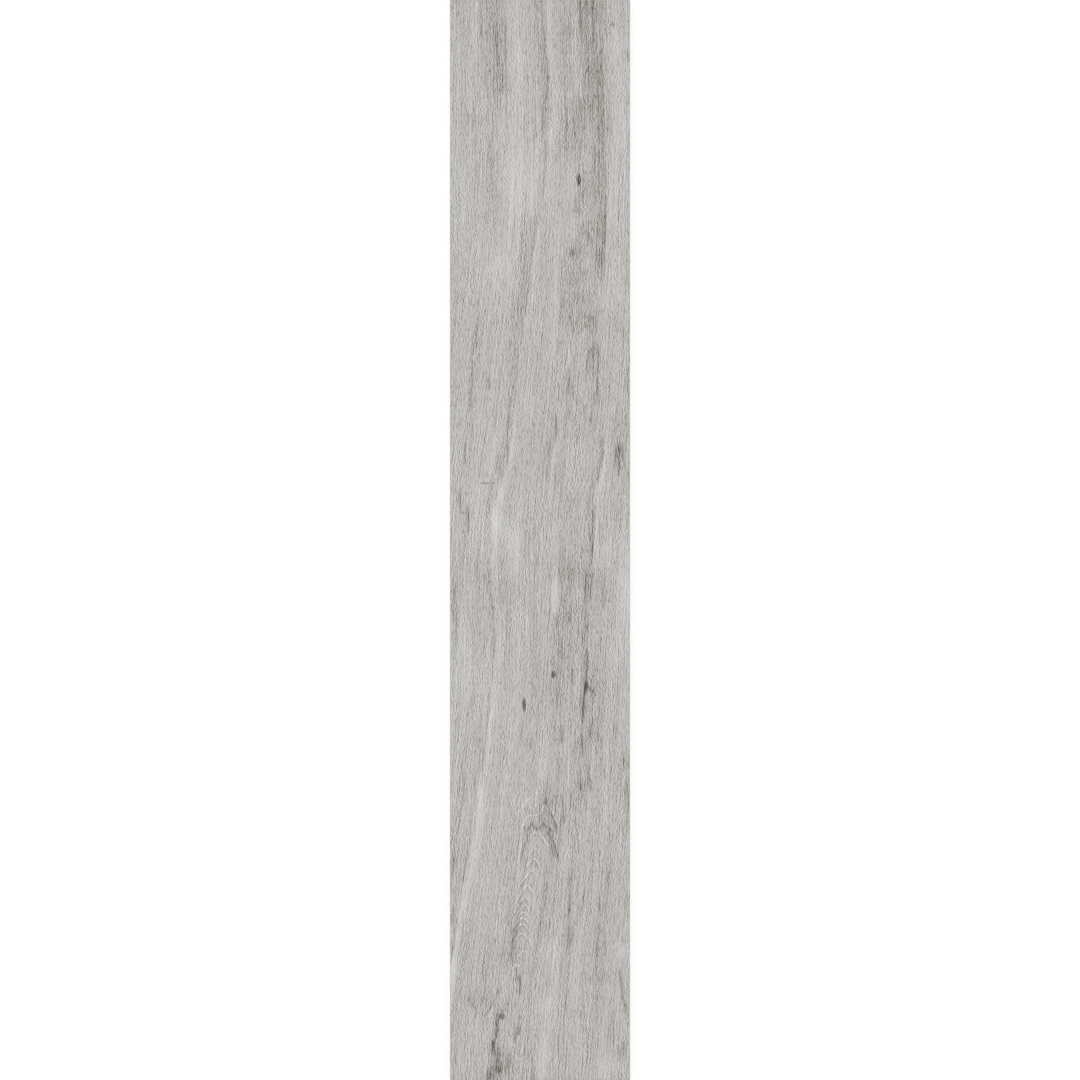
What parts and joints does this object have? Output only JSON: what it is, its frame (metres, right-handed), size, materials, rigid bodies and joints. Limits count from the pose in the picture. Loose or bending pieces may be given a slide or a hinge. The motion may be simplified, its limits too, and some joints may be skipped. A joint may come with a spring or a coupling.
{
  "type": "wood look porcelain plank tile",
  "caption": "Long thin rectangular porcelain floor tile with a grey wood-grain face, ground square edges with a micro-bevel, and a waffle-keyed back that beds in adhesive.",
  "frame": {"origin": "centre of the back, on the plane that the tile rests on", "axes": "+X across the plank, +Y along the plank and its grain, +Z out of the decorated face"},
  "size_m": [0.2, 1.2, 0.0095],
  "materials": {
    "porcelain": "matte glaze with a printed and lightly embossed grey wood grain; bare fired body on the edges and back"
  },
  "bodies": {
    "root": {"plank_tile": "porcelain"}
  },
  "joints": []
}
